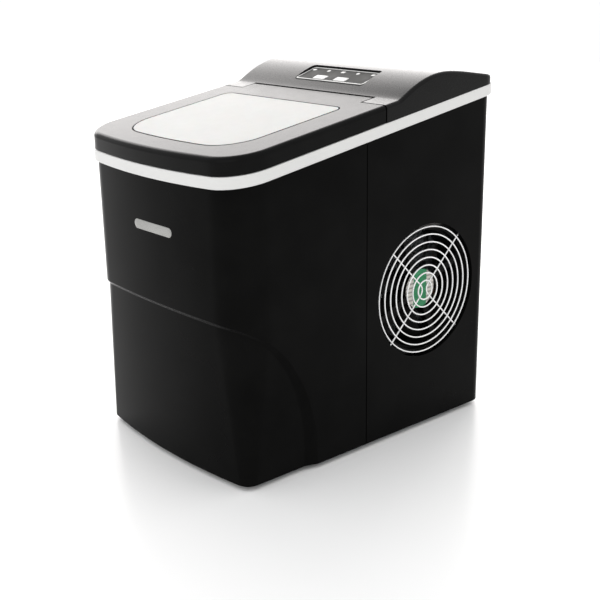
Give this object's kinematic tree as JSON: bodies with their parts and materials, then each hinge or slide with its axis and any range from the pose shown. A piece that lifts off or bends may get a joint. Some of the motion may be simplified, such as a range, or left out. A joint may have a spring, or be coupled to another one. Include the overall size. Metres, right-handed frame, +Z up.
{
  "type": "ice maker",
  "caption": "Countertop ice maker: black housing with a sloping white band, hinged lid with a milky window, control cover with keys, and a side fan behind a round wire guard.",
  "frame": {"origin": "on the floor under the middle of the outline", "axes": "+Z up, the front with the badge faces -Y, the fan side is +X"},
  "size_m": [0.242, 0.328, 0.3494],
  "materials": {
    "housing_black": "high gloss moulded",
    "trim_white": "satin white",
    "lid_black": "high gloss moulded",
    "cover_black": "high gloss moulded",
    "window_milk": "milky translucent",
    "inner_white": "smooth white",
    "panel_grey": "matt printed film",
    "key_white": "matt",
    "lens_white": "clear white",
    "badge_silver": "satin",
    "board_green": "solder resist",
    "base_grey": "fine grain",
    "foot_rubber": "matt",
    "zinc_steel": "zinc plated",
    "foam_white": "expanded foam",
    "clear_grey": "smooth tinted",
    "tray_white": "smooth white",
    "shaft_steel": "ground",
    "motor_metal": "plated can",
    "nickel": "nickel plated",
    "copper": "drawn copper",
    "valve_brass": "machined",
    "sensor_black": "moulded",
    "float_white": "moulded",
    "hose_clear": "silicone",
    "compressor_black": "stoved enamel",
    "fin_aluminium": "rolled",
    "fan_black": "moulded",
    "fan_label": "printed film",
    "guard_chrome": "bright plated wire",
    "core_steel": "varnished laminations"
  },
  "bodies": {
    "machine": {"front_housing": "housing_black", "rear_housing": "housing_black", "trim_band": "trim_white", "control_cover": "cover_black", "inner_liner": "inner_white", "control_panel": "panel_grey", "indicator_lenses": "lens_white", "front_badge": "badge_silver", "display_board": "board_green", "control_board": "board_green", "base_pan": "base_grey", "rubber_feet": "foot_rubber", "compressor_grommets": "foot_rubber", "cord_gland": "foot_rubber", "case_screws": "zinc_steel", "fan_screws": "zinc_steel", "compressor_bolts": "zinc_steel", "hinge_pins": "zinc_steel", "condenser_frame": "zinc_steel", "insulation": "foam_white", "ice_chute": "clear_grey", "tray_bushes": "tray_white", "tray_motor": "motor_metal", "evaporator_tube": "nickel", "freezing_fingers": "nickel", "discharge_pipe": "copper", "suction_pipe": "copper", "liquid_line": "copper", "capillary_tube": "copper", "hot_gas_pipe": "copper", "filter_drier": "copper", "condenser_coil": "copper", "hot_gas_valve": "valve_brass", "ice_level_sensors": "sensor_black", "float_stem": "sensor_black", "pump_housing": "sensor_black", "water_hose": "hose_clear", "drain_tube": "hose_clear", "compressor": "compressor_black", "condenser_fins": "fin_aluminium", "fan_frame": "fan_black", "fan_shroud": "fan_black", "fan_label": "fan_label", "fan_guard": "guard_chrome", "transformer": "core_steel"},
    "lid": {"lid_frame": "lid_black", "lid_window": "window_milk", "lid_inner_frame": "inner_white"},
    "select_key": {"button_select": "key_white"},
    "power_key": {"button_power": "key_white"},
    "basket": {"ice_basket": "clear_grey"},
    "tray": {"water_tray": "tray_white", "tray_shafts": "shaft_steel"},
    "shovel": {"ice_shovel": "clear_grey"},
    "rotor": {"fan_rotor": "fan_black"},
    "impeller": {"pump_impeller": "float_white"},
    "float": {"level_float": "float_white"},
    "plug": {"drain_plug": "foot_rubber"}
  },
  "joints": [
    {"name": "lid_hinge", "type": "hinge", "parent": "machine", "child": "lid", "pos_m": [0, 0.0275, 0.32375], "axis": [-1, 0, 0], "range_deg": [0, 104]},
    {"name": "select_press", "type": "slide", "parent": "machine", "child": "select_key", "axis": [0, 0.3469, -0.9379], "range_m": [0, 0.001], "stiffness_N_per_m": 300},
    {"name": "power_press", "type": "slide", "parent": "machine", "child": "power_key", "axis": [0, 0.3469, -0.9379], "range_m": [0, 0.001], "stiffness_N_per_m": 300},
    {"name": "basket_lift", "type": "slide", "parent": "machine", "child": "basket", "axis": [0, 0, 1], "range_m": [0, 0.06]},
    {"name": "tray_tilt", "type": "hinge", "parent": "machine", "child": "tray", "pos_m": [0, -0.042, 0.256], "axis": [-1, 0, 0], "range_deg": [0, 95]},
    {"name": "shovel_swing", "type": "hinge", "parent": "machine", "child": "shovel", "pos_m": [0, -0.0125, 0.238], "axis": [-1, 0, 0], "range_deg": [0, 60]},
    {"name": "fan_spin", "type": "hinge", "parent": "machine", "child": "rotor", "pos_m": [0.095, 0.07365, 0.14235], "axis": [1, 0, 0], "continuous": true},
    {"name": "impeller_spin", "type": "hinge", "parent": "machine", "child": "impeller", "pos_m": [0.06, -0.031, 0.055], "axis": [0, 0, 1], "continuous": true},
    {"name": "float_rise", "type": "slide", "parent": "machine", "child": "float", "axis": [0, 0, 1], "range_m": [0, 0.01]},
    {"name": "drain_plug_pull", "type": "slide", "parent": "machine", "child": "plug", "axis": [-1, 0, 0], "range_m": [0, 0.014]}
  ],
  "couplings": [
    {"joint": "shovel_swing", "follows": "tray_tilt", "ratio": 0.6315}
  ]
}
